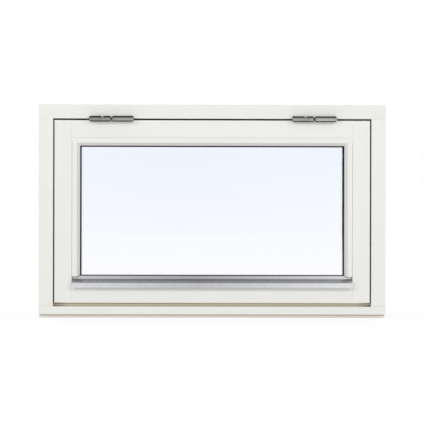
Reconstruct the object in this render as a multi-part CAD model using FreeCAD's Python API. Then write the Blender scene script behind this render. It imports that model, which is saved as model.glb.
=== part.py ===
import FreeCAD, Part
import math
import os

from FreeCAD import Vector

# A top hung awning window: a painted timber frame, and a timber sash that hangs from two barrel hinges
# at its top edge, with a double-glazed unit held by timber beads and an aluminium drip profile.
# All sizes are in millimetres and all angles in degrees.
# X runs to the right as seen from outside, Y from the outside to the room, Z up.
# The origin is on the sill's underside, midway along the sill and midway through the frame's depth.

# Outer frame
FRAME_WIDTH = 780.0
FRAME_HEIGHT = 480.0
FRAME_DEPTH = 105.0
FRAME_FACE = 32.1  # jambs beside the sash
STOP_OVERLAP = 12.0  # how far the stop covers the back of the sash
ARRIS = 1.5  # rounding along the exposed edges of the timber

# Sill
SILL_NOSE_TOP = 26.0
SILL_NOSE_BOTTOM = 8.2
SILL_NOSE_PROUD = 1.0  # in front of the jambs
SILL_NOSE_RADIUS = 1.0
SILL_BEVEL_WIDTH = 5.0  # steep bevel behind the nose
SILL_BEVEL_RISE = 5.6
SILL_SLOPE = 14.0
FLASHING_REBATE_DEPTH = 15.0  # room under the nose for a sill flashing

# Grooves that make rain drip off the undersides of the nose and the sash
DRIP_GROOVE_WIDTH = 4.0
DRIP_GROOVE_DEPTH = 3.0
NOSE_GROOVE_INSET = 6.0  # from the front of the nose
SASH_GROOVE_INSET = 10.0  # from the front of the sash

# Frame fixings: two screw sleeves through each jamb, hidden by the closed sash
FIXING_BORE = 14.0
FIXING_SPACING = 240.0
FIXING_DEPTH = 40.0  # behind the front face

# Sash
SASH_THICKNESS = 57.0
SASH_FACE = 39.1  # stiles and top rail beside the beads
BOTTOM_RAIL_FACE = 44.5
SASH_GAP = 3.0  # between sash and jambs
HEAD_RISE = 0.6  # how much wider the gap is under the head
SASH_LIFT = 6.4  # above the nose at the front
SASH_FOOT_RADIUS = 2.5
JOINT_ARRIS = 0.8  # eased edge that shows as a fine line where timbers meet

# Weather seal between the back of the sash and the stop
SEAL_THICKNESS = 4.0
SEAL_WIDTH = 6.0
SEAL_INSET = 3.0  # from the edge of the sash
SEAL_STEM_WIDTH = 3.0
SEAL_STEM_DEPTH = 5.0
SEAL_CLEARANCE = 0.2

# Timber glazing beads
BEAD_WIDTH = 17.7
BEAD_FLAT = 11.2  # face of the bead before its bevel
BEAD_DEPTH = 16.0
BEAD_BEVEL_WIDTH = 6.3
BEAD_BEVEL_DEPTH = 8.0
BEAD_ARRIS = 1.4
BEAD_FIT = 0.3  # gap from the side beads to the stiles and the top bead
BEAD_FOOT_LIFT = 3.2  # side beads above the drip profile, at the glass
BEAD_FOOT_FALL = 4.4  # how much lower their sloping ends are at the front

# Sealed unit, from the outside in: gasket, pane, spacer, pane, tape
PANE_THICKNESS = 4.0
PANE_CAVITY = 16.0
PANE_EDGE_CLEARANCE = 4.0
GASKET_THICKNESS = 2.5
GASKET_WIDTH = 11.0
GASKET_SHOW = 3.0  # black edge that shows inside the beads
GASKET_HEAD_RISE = 0.4  # how much less of it shows under the top bead
GASKET_FOOT_DROP = 0.9  # how much less of it shows above the drip profile
TAPE_THICKNESS = 3.0
TAPE_WIDTH = 9.0
SPACER_WIDTH = 7.5
SPACER_INSET = 4.0  # from the edge of the panes
STRIP_JOINT = 0.2  # gap where gasket, tape, spacer and seal strips meet at the corners

# Aluminium drip profile along the bottom of the glass
DRIP_END_GAP = 0.4
DRIP_WALL = 2.0
DRIP_LAND = 3.0  # top of the upstand, against the gasket
DRIP_BEVEL = 0.8
DRIP_UPSTAND = 7.0
DRIP_FALL = 7.0
DRIP_PROJECTION = 9.5  # in front of the sash
DRIP_FRONT = 12.2
DRIP_NOSE_RADIUS = 2.5
DRIP_FOOT_INSET = 2.0  # front foot, behind the sash face

# Barrel hinges
HINGE_LENGTH = 100.0
HINGE_INSET = 127.2  # from the side of the sash to the middle of the hinge
HINGE_SHIFT = 1.2  # both hinges, to the right
HINGE_SPLIT = 3.2
HINGE_RISE = 0.9  # axis above the middle of the top gap
BARREL_DIAMETER = 13.0
BARREL_STANDOFF = 0.4
BARREL_DOME_LENGTH = 2.8  # taper at the outer end of a knuckle, in two steps
BARREL_DOME_DROP = 2.4
BARREL_TIP_LENGTH = 0.8  # the steeper step
BARREL_TIP_DROP = 1.6
BARREL_SPLIT_TAPER = 1.0
HINGE_PIN_DIAMETER = 6.4
HINGE_PIN_HOLD = 38.0
HINGE_PIN_CLEARANCE = 0.05
LEAF_THICKNESS = 2.0
LEAF_SINK = 1.0  # into the timber
LEAF_REACH = 32.0
LEAF_CORNER_RADIUS = 5.0
LEAF_CLEARANCE = 0.3
CATCH_SLOT_OFFSET = 30.0  # from the outer end of the frame knuckle
CATCH_SLOT_WIDTH = 4.2
CATCH_SLOT_DEPTH = 2.9

# Handle on the room side of the bottom rail
HANDLE_BASE_LENGTH = 62.0
HANDLE_BASE_HEIGHT = 26.0
HANDLE_BASE_THICKNESS = 8.0
HANDLE_BASE_ROUNDING = 2.0
HANDLE_LEVER_LENGTH = 112.0
HANDLE_LEVER_HEIGHT = 17.0
HANDLE_LEVER_THICKNESS = 11.0
HANDLE_NECK_WIDTH = 16.0
HANDLE_STANDOFF = 28.0  # from the sash to the lever
HANDLE_ELBOW_RADIUS = 14.0
HANDLE_TIP_RADIUS = 4.4
HANDLE_ROUNDING = 3.5
HANDLE_EASING = 1.2  # edges that face the sash

# Places that follow from the sizes
SLOPE = math.tan(math.radians(SILL_SLOPE))
FRAME_HALF = FRAME_WIDTH / 2
FRONT_Y = -FRAME_DEPTH / 2
BACK_Y = FRAME_DEPTH / 2
SASH_BACK_Y = FRONT_Y + SASH_THICKNESS
STOP_Y = SASH_BACK_Y + SEAL_THICKNESS
STOP_WIDTH = FRAME_FACE + SASH_GAP + STOP_OVERLAP
HEAD_FACE = FRAME_FACE - HEAD_RISE
HEAD_UNDERSIDE = FRAME_HEIGHT - HEAD_FACE
SASH_HALF = FRAME_HALF - FRAME_FACE - SASH_GAP
SASH_TOP = HEAD_UNDERSIDE - HEAD_RISE - SASH_GAP
SASH_BOTTOM = SILL_NOSE_TOP + SASH_LIFT
SASH_BACK_BOTTOM = SASH_BOTTOM + SASH_THICKNESS * SLOPE
SILL_STOP_TOP = SASH_BACK_BOTTOM + STOP_OVERLAP
SILL_NOSE_Y = FRONT_Y - SILL_NOSE_PROUD
SILL_BEVEL_Y = SILL_NOSE_Y + SILL_BEVEL_WIDTH
SILL_BEVEL_TOP = SILL_NOSE_TOP + SILL_BEVEL_RISE
REBATE_HALF = SASH_HALF - SASH_FACE
REBATE_TOP = SASH_TOP - SASH_FACE
REBATE_BOTTOM = SASH_BOTTOM + BOTTOM_RAIL_FACE
SIGHT_HALF = REBATE_HALF - BEAD_WIDTH
SIGHT_TOP = REBATE_TOP - BEAD_WIDTH
SIGHT_BOTTOM = REBATE_BOTTOM + BEAD_WIDTH
GASKET_Y = FRONT_Y + BEAD_DEPTH
OUTER_PANE_Y = GASKET_Y + GASKET_THICKNESS
SPACER_Y = OUTER_PANE_Y + PANE_THICKNESS
INNER_PANE_Y = SPACER_Y + PANE_CAVITY
TAPE_Y = INNER_PANE_Y + PANE_THICKNESS
REBATE_Y = TAPE_Y + TAPE_THICKNESS
HINGE_X = SASH_HALF - HINGE_INSET
HINGE_Y = FRONT_Y - BARREL_STANDOFF - BARREL_DIAMETER / 2
HINGE_Z = (HEAD_UNDERSIDE + SASH_TOP) / 2 + HINGE_RISE
HANDLE_Z = (SILL_STOP_TOP + SIGHT_BOTTOM) / 2
BEYOND = 2 * FRAME_DEPTH  # reach of cutting blocks past the timber


def rounded_wire(corners, place):
    """A closed wire through corners (u, v) or (u, v, radius), each placed in space by place(u, v)."""
    spots = [Vector(corner[0], corner[1], 0) for corner in corners]
    radii = [corner[2] if len(corner) > 2 else 0.0 for corner in corners]
    count = len(spots)
    starts, middles, ends = [], [], []
    for i, (spot, radius) in enumerate(zip(spots, radii)):
        back = (spots[i - 1] - spot).normalize()
        ahead = (spots[(i + 1) % count] - spot).normalize()
        if radius == 0:
            starts.append(spot)
            middles.append(None)
            ends.append(spot)
            continue
        half = back.getAngle(ahead) / 2
        inward = (back + ahead).normalize()
        starts.append(spot + back * (radius / math.tan(half)))
        middles.append(spot + inward * (radius / math.sin(half) - radius))
        ends.append(spot + ahead * (radius / math.tan(half)))
    edges = []
    for i in range(count):
        if middles[i] is not None:
            arc_points = [place(p.x, p.y) for p in (starts[i], middles[i], ends[i])]
            edges.append(Part.Arc(*arc_points).toShape())
        start, end = ends[i], starts[(i + 1) % count]
        edges.append(Part.LineSegment(place(start.x, start.y), place(end.x, end.y)).toShape())
    return Part.Wire(edges)


def prism(corners, place, travel):
    """The solid that an outline sweeps along a straight travel."""
    solid = Part.Face(rounded_wire(corners, place)).extrude(travel)
    if solid.Volume < 0:
        solid.reverse()
    return solid


def bar_along_x(corners, x_low, x_high):
    """A bar with its section given as (y, z) corners."""
    return prism(corners, lambda y, z: Vector(x_low, y, z), Vector(x_high - x_low, 0, 0))


def bar_along_z(corners, z_low, z_high):
    """A bar with its section given as (x, y) corners."""
    return prism(corners, lambda x, y: Vector(x, y, z_low), Vector(0, 0, z_high - z_low))


def block(x_low, x_high, y_low, y_high, z_low, z_high):
    size = (x_high - x_low, y_high - y_low, z_high - z_low)
    return Part.makeBox(*size, Vector(x_low, y_low, z_low))


def mirrored(corners):
    """An (x, y) section turned from the left side of the window to the right side."""
    return [(-corner[0], *corner[1:]) for corner in corners]


def one_solid(shape):
    """The single solid left by a cut."""
    return shape.removeSplitter().Solids[0]


def ring_strips(half_width, z_low, z_high, width, y_low, y_high):
    """Four strips round an upright rectangle, inside its outline: full sills and heads, sides between."""
    side_low, side_high = z_low + width + STRIP_JOINT, z_high - width - STRIP_JOINT
    return [
        block(-half_width, half_width, y_low, y_high, z_high - width, z_high),
        block(-half_width, half_width, y_low, y_high, z_low, z_low + width),
        block(-half_width, -half_width + width, y_low, y_high, side_low, side_high),
        block(half_width - width, half_width, y_low, y_high, side_low, side_high),
    ]


# Frame

SEAL_EDGE = FRAME_FACE + SASH_GAP + SEAL_INSET
KERF_START = SEAL_EDGE + (SEAL_WIDTH - SEAL_STEM_WIDTH) / 2 - SEAL_CLEARANCE
KERF_END = KERF_START + SEAL_STEM_WIDTH + 2 * SEAL_CLEARANCE
KERF_FLOOR_Y = STOP_Y + SEAL_STEM_DEPTH + SEAL_CLEARANCE


def frame_section(face, front_arris):
    """Head or jamb section as (y, inset) corners, the inset measured from the frame's outside edge."""
    return [
        (FRONT_Y, 0),
        (FRONT_Y, face, front_arris),
        (STOP_Y, face),
        (STOP_Y, KERF_START),
        (KERF_FLOOR_Y, KERF_START),
        (KERF_FLOOR_Y, KERF_END),
        (STOP_Y, KERF_END),
        (STOP_Y, STOP_WIDTH, ARRIS),
        (BACK_Y, STOP_WIDTH, ARRIS),
        (BACK_Y, 0),
    ]


def head_bar(front_arris, x_low, x_high):
    corners = frame_section(HEAD_FACE, front_arris)
    section = [(y, FRAME_HEIGHT - inset, *rest) for y, inset, *rest in corners]
    return bar_along_x(section, x_low, x_high)


def frame_head():
    """The head, its edge rounded between the jambs and only eased where it lies on them."""
    opening = FRAME_HALF - FRAME_FACE
    head = head_bar(ARRIS, -opening, opening)
    for side in (-1, 1):
        head = head.fuse(head_bar(JOINT_ARRIS, *sorted((side * opening, side * FRAME_HALF))))
    for side in (-1, 1):
        head = head.cut(leaf_mortise(side, HingeHalf.FRAME))
    return one_solid(head)


def sill_section():
    """Sill section as (y, z) corners: sloped top, bevelled nose with a drip groove, flashing rebate."""
    foot_y = FRONT_Y + FLASHING_REBATE_DEPTH
    groove_start = SILL_NOSE_Y + NOSE_GROOVE_INSET
    groove_end = groove_start + DRIP_GROOVE_WIDTH
    groove_top = SILL_NOSE_BOTTOM + DRIP_GROOVE_DEPTH
    kerf_shift = SASH_BACK_BOTTOM - FRAME_FACE - SASH_GAP
    return [
        (SILL_NOSE_Y, SILL_NOSE_BOTTOM, ARRIS),
        (SILL_NOSE_Y, SILL_NOSE_TOP, SILL_NOSE_RADIUS),
        (SILL_BEVEL_Y, SILL_BEVEL_TOP, SILL_NOSE_RADIUS),
        (STOP_Y, sill_top(STOP_Y)),
        (STOP_Y, KERF_START + kerf_shift),
        (KERF_FLOOR_Y, KERF_START + kerf_shift),
        (KERF_FLOOR_Y, KERF_END + kerf_shift),
        (STOP_Y, KERF_END + kerf_shift),
        (STOP_Y, SILL_STOP_TOP, ARRIS),
        (BACK_Y, SILL_STOP_TOP, ARRIS),
        (BACK_Y, 0),
        (foot_y, 0),
        (foot_y, SILL_NOSE_BOTTOM),
        (groove_end, SILL_NOSE_BOTTOM),
        (groove_end, groove_top),
        (groove_start, groove_top),
        (groove_start, SILL_NOSE_BOTTOM),
    ]


def frame_sill():
    return bar_along_x(sill_section(), -FRAME_HALF, FRAME_HALF)


def above_head():
    """Everything above the underside of the head, to trim the jambs."""
    corners = [
        (FRONT_Y - BEYOND, HEAD_UNDERSIDE),
        (STOP_Y, HEAD_UNDERSIDE),
        (STOP_Y, FRAME_HEIGHT - STOP_WIDTH),
        (BACK_Y + BEYOND, FRAME_HEIGHT - STOP_WIDTH),
        (BACK_Y + BEYOND, FRAME_HEIGHT + BEYOND),
        (FRONT_Y - BEYOND, FRAME_HEIGHT + BEYOND),
    ]
    return bar_along_x(corners, -FRAME_HALF - BEYOND, FRAME_HALF + BEYOND)


def sill_top(y):
    """Height of the sill's sloped top behind the bevel."""
    return SILL_BEVEL_TOP + (y - SILL_BEVEL_Y) * SLOPE


def below_sill():
    """Everything below the top of the sill, to trim the jambs and ease the sharp tips of their feet."""
    steepness = SILL_BEVEL_RISE / SILL_BEVEL_WIDTH
    eased_z = SILL_NOSE_TOP + SILL_NOSE_PROUD * steepness + JOINT_ARRIS
    eased_y = FRONT_Y + JOINT_ARRIS / steepness
    corners = [
        (FRONT_Y - BEYOND, eased_z),
        (eased_y, eased_z),
        (SILL_BEVEL_Y, SILL_BEVEL_TOP, SILL_NOSE_RADIUS),
        (STOP_Y, sill_top(STOP_Y)),
        (STOP_Y, SILL_STOP_TOP),
        (BACK_Y + BEYOND, SILL_STOP_TOP),
        (BACK_Y + BEYOND, -BEYOND),
        (FRONT_Y - BEYOND, -BEYOND),
    ]
    return bar_along_x(corners, -FRAME_HALF - BEYOND, FRAME_HALF + BEYOND)


def frame_jamb(side):
    """The jamb on side -1 or 1, coped between sill and head, with its two fixing bores."""
    corners = frame_section(FRAME_FACE, ARRIS)
    section = [(inset - FRAME_HALF, y, *rest) for y, inset, *rest in corners]
    if side > 0:
        section = mirrored(section)
    jamb = bar_along_z(section, 0, FRAME_HEIGHT).cut(above_head()).cut(below_sill())
    for z in (FRAME_HEIGHT / 2 - FIXING_SPACING / 2, FRAME_HEIGHT / 2 + FIXING_SPACING / 2):
        start = Vector(side * FRAME_HALF, FRONT_Y + FIXING_DEPTH, z)
        jamb = jamb.cut(Part.makeCylinder(FIXING_BORE / 2, FRAME_FACE, start, Vector(-side, 0, 0)))
    return one_solid(jamb)


def weather_seal():
    """Four seal strips, each with a stem in the kerf of the stop."""
    outer_half = FRAME_HALF - SEAL_EDGE
    outer_top = FRAME_HEIGHT - SEAL_EDGE
    outer_bottom = SASH_BACK_BOTTOM + SEAL_INSET
    stem_inset = (SEAL_WIDTH - SEAL_STEM_WIDTH) / 2
    stem_back_y = STOP_Y + SEAL_STEM_DEPTH
    stem_half = outer_half - stem_inset
    stem_top, stem_bottom = outer_top - stem_inset, outer_bottom + stem_inset
    jamb_top, jamb_bottom = FRAME_HEIGHT - STOP_WIDTH, SILL_STOP_TOP
    inner_half = stem_half - SEAL_STEM_WIDTH
    stems = [
        block(-stem_half, stem_half, STOP_Y, stem_back_y, stem_top - SEAL_STEM_WIDTH, stem_top),
        block(-stem_half, stem_half, STOP_Y, stem_back_y, stem_bottom, stem_bottom + SEAL_STEM_WIDTH),
        block(-stem_half, -inner_half, STOP_Y, stem_back_y, jamb_bottom, jamb_top),
        block(inner_half, stem_half, STOP_Y, stem_back_y, jamb_bottom, jamb_top),
    ]
    bulbs = ring_strips(outer_half, outer_bottom, outer_top, SEAL_WIDTH, SASH_BACK_Y, STOP_Y)
    return Part.makeCompound([one_solid(bulb.fuse(stem)) for bulb, stem in zip(bulbs, stems)])


# Sash


def sash_foot():
    """Underside of the sash as (y, z) corners, from back to front, parallel to the sill and grooved."""
    groove_front = FRONT_Y + SASH_GROOVE_INSET
    groove_back = groove_front + DRIP_GROOVE_WIDTH

    def underside(y):
        return SASH_BOTTOM + (y - FRONT_Y) * SLOPE

    return [
        (SASH_BACK_Y, SASH_BACK_BOTTOM, ARRIS),
        (groove_back, underside(groove_back)),
        (groove_back, underside(groove_back) + DRIP_GROOVE_DEPTH),
        (groove_front, underside(groove_front) + DRIP_GROOVE_DEPTH),
        (groove_front, underside(groove_front)),
        (FRONT_Y, SASH_BOTTOM, SASH_FOOT_RADIUS),
    ]


def sash_envelope():
    """Side view of the whole sash, across its full width, to shape the ends of the stiles."""
    corners = sash_foot() + [(FRONT_Y, SASH_TOP, ARRIS), (SASH_BACK_Y, SASH_TOP, ARRIS)]
    return bar_along_x(corners, -SASH_HALF, SASH_HALF)


def sash_stile(side):
    """The stile on side -1 or 1: the full height of the sash, with the rebate for the glass."""
    section = [
        (-SASH_HALF, FRONT_Y, ARRIS),
        (-REBATE_HALF, FRONT_Y, JOINT_ARRIS),
        (-REBATE_HALF, REBATE_Y),
        (-SIGHT_HALF, REBATE_Y),
        (-SIGHT_HALF, SASH_BACK_Y, ARRIS),
        (-SASH_HALF, SASH_BACK_Y, ARRIS),
    ]
    if side > 0:
        section = mirrored(section)
    return one_solid(bar_along_z(section, 0, FRAME_HEIGHT).common(sash_envelope()))


def between_stiles(rail):
    """Cuts a rail to length, coped round the rebated stiles."""
    for side in (-1, 1):
        outer = side * (SASH_HALF + BEYOND)
        for inner, y_low in ((side * REBATE_HALF, FRONT_Y - BEYOND), (side * SIGHT_HALF, REBATE_Y)):
            x_low, x_high = sorted((outer, inner))
            rail = rail.cut(block(x_low, x_high, y_low, SASH_BACK_Y + BEYOND, -BEYOND, FRAME_HEIGHT))
    return one_solid(rail)


def sash_top_rail():
    section = [
        (FRONT_Y, SASH_TOP, ARRIS),
        (FRONT_Y, REBATE_TOP),
        (REBATE_Y, REBATE_TOP),
        (REBATE_Y, SIGHT_TOP),
        (SASH_BACK_Y, SIGHT_TOP, ARRIS),
        (SASH_BACK_Y, SASH_TOP, ARRIS),
    ]
    rail = bar_along_x(section, -SASH_HALF, SASH_HALF)
    for side in (-1, 1):
        rail = rail.cut(leaf_mortise(side, HingeHalf.SASH))
    return between_stiles(rail)


def sash_bottom_rail():
    section = sash_foot() + [
        (FRONT_Y, REBATE_BOTTOM, ARRIS),
        (REBATE_Y, REBATE_BOTTOM),
        (REBATE_Y, SIGHT_BOTTOM),
        (SASH_BACK_Y, SIGHT_BOTTOM, ARRIS),
    ]
    return between_stiles(bar_along_x(section, -SASH_HALF, SASH_HALF))


# Glazing


def bead_section(fit):
    """Bead section as (y, inset) corners, the inset measured from the rebate, which it clears by fit."""
    return [
        (FRONT_Y, fit, BEAD_ARRIS),
        (FRONT_Y, BEAD_FLAT, BEAD_ARRIS),
        (FRONT_Y + BEAD_BEVEL_DEPTH, BEAD_FLAT + BEAD_BEVEL_WIDTH),
        (GASKET_Y, BEAD_WIDTH),
        (GASKET_Y, fit),
    ]


def glazing_bead_top():
    section = [(y, REBATE_TOP - inset, *rest) for y, inset, *rest in bead_section(0)]
    return bar_along_x(section, -REBATE_HALF, REBATE_HALF)


def glazing_bead_side(side):
    """The bead on side -1 or 1: its foot slopes to shed water, and it is coped under the top bead."""
    section = [(inset - REBATE_HALF, y, *rest) for y, inset, *rest in bead_section(BEAD_FIT)]
    if side > 0:
        section = mirrored(section)
    foot_back = SIGHT_BOTTOM + BEAD_FOOT_LIFT
    foot_front = foot_back - BEAD_FOOT_FALL
    below_foot = [
        (FRONT_Y, foot_front),
        (GASKET_Y, foot_back),
        (GASKET_Y, foot_front - BEAD_WIDTH),
        (FRONT_Y, foot_front - BEAD_WIDTH),
    ]
    bead = bar_along_z(section, foot_front, REBATE_TOP)
    bead = bead.cut(bar_along_x(below_foot, -SASH_HALF, SASH_HALF))
    top_bead = glazing_bead_top()
    lowered = top_bead.translated(Vector(0, 0, -BEAD_FIT))
    return one_solid(bead.cut(top_bead).cut(lowered))


def drip_profile():
    """The aluminium extrusion: upstand at the glass, sloped top, front that hangs past the bottom rail."""
    upstand_y = GASKET_Y - DRIP_LAND - DRIP_BEVEL
    slope_top = SIGHT_BOTTOM - DRIP_UPSTAND
    nose_y = FRONT_Y - DRIP_PROJECTION
    nose_top = slope_top - DRIP_FALL
    front_foot_y = FRONT_Y + DRIP_FOOT_INSET

    def under_slope(y):
        return slope_top - (upstand_y - y) * DRIP_FALL / (upstand_y - nose_y) - DRIP_WALL

    section = [
        (GASKET_Y, SIGHT_BOTTOM),
        (GASKET_Y - DRIP_LAND, SIGHT_BOTTOM),
        (upstand_y, slope_top),
        (nose_y, nose_top, DRIP_NOSE_RADIUS),
        (nose_y, nose_top - DRIP_FRONT),
        (nose_y + DRIP_WALL, nose_top - DRIP_FRONT),
        (nose_y + DRIP_WALL, under_slope(nose_y + DRIP_WALL)),
        (front_foot_y, under_slope(front_foot_y)),
        (front_foot_y, REBATE_BOTTOM),
        (front_foot_y + DRIP_WALL, REBATE_BOTTOM),
        (front_foot_y + DRIP_WALL, under_slope(front_foot_y + DRIP_WALL)),
        (GASKET_Y - DRIP_WALL, under_slope(GASKET_Y - DRIP_WALL)),
        (GASKET_Y - DRIP_WALL, REBATE_BOTTOM),
        (GASKET_Y, REBATE_BOTTOM),
    ]
    half = REBATE_HALF - DRIP_END_GAP
    return bar_along_x(section, -half, half)


def glass_pane(y):
    half = REBATE_HALF - PANE_EDGE_CLEARANCE
    bottom, top = REBATE_BOTTOM + PANE_EDGE_CLEARANCE, REBATE_TOP - PANE_EDGE_CLEARANCE
    return block(-half, half, y, y + PANE_THICKNESS, bottom, top)


def glass_spacer():
    inset = PANE_EDGE_CLEARANCE + SPACER_INSET
    outline = (REBATE_HALF - inset, REBATE_BOTTOM + inset, REBATE_TOP - inset)
    return Part.makeCompound(ring_strips(*outline, SPACER_WIDTH, SPACER_Y, INNER_PANE_Y))


def sight_strips(width, show, head_rise, foot_drop, y_low, y_high):
    """Strips on the glass that reach a little inside the sight line of the beads."""
    grow = width - show
    outline = (SIGHT_HALF + grow, SIGHT_BOTTOM - grow - foot_drop, SIGHT_TOP + grow + head_rise)
    return Part.makeCompound(ring_strips(*outline, width, y_low, y_high))


def glazing_gasket():
    show = (GASKET_SHOW, GASKET_HEAD_RISE, GASKET_FOOT_DROP)
    return sight_strips(GASKET_WIDTH, *show, GASKET_Y, OUTER_PANE_Y)


def glazing_tape():
    return sight_strips(TAPE_WIDTH, 0, 0, 0, TAPE_Y, REBATE_Y)


# Hinges


class HingeHalf:
    """The two halves of a hinge: left half on the frame, right half on the sash, seen from outside."""

    FRAME = -1
    SASH = 1


def knuckle_ends(side, half):
    """Outer and inner end of a knuckle along X."""
    middle = side * HINGE_X + HINGE_SHIFT
    return middle + half * HINGE_LENGTH / 2, middle + half * HINGE_SPLIT / 2


def leaf_heights(half):
    """Lowest and highest point of a leaf, let into the head's underside or the sash's top."""
    if half == HingeHalf.FRAME:
        return HEAD_UNDERSIDE - LEAF_THICKNESS + LEAF_SINK, HEAD_UNDERSIDE + LEAF_SINK
    return SASH_TOP - LEAF_SINK, SASH_TOP - LEAF_SINK + LEAF_THICKNESS


def leaf_outline(side, half, front_y, clearance):
    x_low, x_high = sorted(knuckle_ends(side, half))
    back_y = FRONT_Y + LEAF_REACH + clearance
    radius = LEAF_CORNER_RADIUS + clearance
    return [
        (x_low - clearance, front_y),
        (x_low - clearance, back_y, radius),
        (x_high + clearance, back_y, radius),
        (x_high + clearance, front_y),
    ]


def leaf_mortise(side, half):
    """The recess for a leaf, open at the front face."""
    low, high = leaf_heights(half)
    if half == HingeHalf.FRAME:
        low = HEAD_UNDERSIDE - BEYOND
    else:
        high = SASH_TOP + BEYOND
    return bar_along_z(leaf_outline(side, half, FRONT_Y - BEYOND, LEAF_CLEARANCE), low, high)


def hinge_half(side, half):
    """One knuckle with its leaf: a turned barrel with a blind bore for the pin."""
    outer_x, inner_x = knuckle_ends(side, half)
    radius = BARREL_DIAMETER / 2
    turned = [
        (outer_x, 0),
        (outer_x, radius - BARREL_DOME_DROP),
        (outer_x - half * BARREL_TIP_LENGTH, radius - BARREL_DOME_DROP + BARREL_TIP_DROP),
        (outer_x - half * BARREL_DOME_LENGTH, radius),
        (inner_x + half * BARREL_SPLIT_TAPER, radius),
        (inner_x, radius - BARREL_SPLIT_TAPER),
        (inner_x, 0),
    ]
    outline = rounded_wire(turned, lambda x, r: Vector(x, HINGE_Y, HINGE_Z + r))
    axis_point, axis = Vector(0, HINGE_Y, HINGE_Z), Vector(1, 0, 0)
    barrel = Part.Face(outline).revolve(axis_point, axis, 360)
    if barrel.Volume < 0:
        barrel.reverse()
    low, high = leaf_heights(half)
    leaf = bar_along_z(leaf_outline(side, half, HINGE_Y, 0), low, high)
    bore_radius = HINGE_PIN_DIAMETER / 2 + HINGE_PIN_CLEARANCE
    bore_depth = HINGE_PIN_HOLD + HINGE_PIN_CLEARANCE
    mouth = Vector(inner_x, HINGE_Y, HINGE_Z)
    knuckle = barrel.fuse(leaf).cut(Part.makeCylinder(bore_radius, bore_depth, mouth, axis * half))
    if half == HingeHalf.FRAME:
        knuckle = knuckle.cut(catch_slot(outer_x))
    return one_solid(knuckle)


def catch_slot(outer_x):
    """The slot across the top of the frame knuckle for the catch that keeps the hinge from sliding apart."""
    middle = outer_x + CATCH_SLOT_OFFSET
    floor = HINGE_Z + BARREL_DIAMETER / 2 - CATCH_SLOT_DEPTH
    return block(
        middle - CATCH_SLOT_WIDTH / 2,
        middle + CATCH_SLOT_WIDTH / 2,
        HINGE_Y - BARREL_DIAMETER,
        FRONT_Y,
        floor,
        floor + BARREL_DIAMETER,
    )


def hinge_pin(side):
    length = HINGE_SPLIT + 2 * HINGE_PIN_HOLD
    start = Vector(side * HINGE_X + HINGE_SHIFT - length / 2, HINGE_Y, HINGE_Z)
    return Part.makeCylinder(HINGE_PIN_DIAMETER / 2, length, start, Vector(1, 0, 0))


# Handle


def handle_base():
    """The base plate: a slot-shaped rose with a softened front."""
    half_length, half_height = HANDLE_BASE_LENGTH / 2, HANDLE_BASE_HEIGHT / 2
    corner_radius = half_height - HANDLE_BASE_ROUNDING
    corners = [
        (x * half_length, HANDLE_Z + z * half_height, corner_radius)
        for x, z in ((-1, -1), (1, -1), (1, 1), (-1, 1))
    ]
    front_y = SASH_BACK_Y + HANDLE_BASE_THICKNESS
    plate = prism(corners, lambda x, z: Vector(x, SASH_BACK_Y, z), Vector(0, HANDLE_BASE_THICKNESS, 0))
    front_edges = [edge for edge in plate.Edges if edge.BoundBox.YMin > front_y - 0.01]
    return plate.makeChamfer(HANDLE_BASE_ROUNDING, front_edges)


def handle_lever():
    """The lever: a neck out of the base plate that turns through an elbow into the grip."""
    neck = HANDLE_NECK_WIDTH / 2
    base_y = SASH_BACK_Y + HANDLE_BASE_THICKNESS
    inner_y = SASH_BACK_Y + HANDLE_STANDOFF
    outer_y = inner_y + HANDLE_LEVER_THICKNESS
    tip_x = HANDLE_LEVER_LENGTH - neck
    inner_radius = HANDLE_ELBOW_RADIUS - HANDLE_LEVER_THICKNESS / 2
    plan = [
        (-neck, base_y),
        (neck, base_y),
        (neck, inner_y, inner_radius),
        (tip_x, inner_y),
        (tip_x, outer_y, HANDLE_TIP_RADIUS),
        (-neck, outer_y, HANDLE_ELBOW_RADIUS),
    ]
    low, high = HANDLE_Z - HANDLE_LEVER_HEIGHT / 2, HANDLE_Z + HANDLE_LEVER_HEIGHT / 2
    lever = bar_along_z(plan, low, high)

    def is_level(edge):
        return edge.BoundBox.ZLength < 0.01 and edge.BoundBox.YMax > base_y + 0.01

    def faces_sash(edge):
        return edge.BoundBox.XMax > 0 and edge.BoundBox.YMax < inner_y + 0.01

    def on_room_side(edge):
        return edge.BoundBox.XMax < 0 or edge.BoundBox.YMax > inner_y + 0.01

    lever = lever.makeFillet(HANDLE_ROUNDING, [e for e in lever.Edges if is_level(e) and on_room_side(e)])
    return lever.makeChamfer(HANDLE_EASING, [e for e in lever.Edges if is_level(e) and faces_sash(e)])


def pieces():
    """Every piece of the window by name."""
    made = {
        "frame_head": frame_head(),
        "frame_sill": frame_sill(),
        "weather_seal": weather_seal(),
        "sash_top_rail": sash_top_rail(),
        "sash_bottom_rail": sash_bottom_rail(),
        "glazing_bead_top": glazing_bead_top(),
        "drip_profile": drip_profile(),
        "glazing_gasket": glazing_gasket(),
        "glass_outer_pane": glass_pane(OUTER_PANE_Y),
        "glass_spacer": glass_spacer(),
        "glass_inner_pane": glass_pane(INNER_PANE_Y),
        "glazing_tape": glazing_tape(),
        "handle_base": handle_base(),
        "handle_lever": handle_lever(),
    }
    for name, side in (("left", -1), ("right", 1)):
        made[f"frame_jamb_{name}"] = frame_jamb(side)
        made[f"sash_stile_{name}"] = sash_stile(side)
        made[f"glazing_bead_{name}"] = glazing_bead_side(side)
        made[f"hinge_{name}_frame_leaf"] = hinge_half(side, HingeHalf.FRAME)
        made[f"hinge_{name}_sash_leaf"] = hinge_half(side, HingeHalf.SASH)
        made[f"hinge_{name}_pin"] = hinge_pin(side)
    return made


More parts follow.
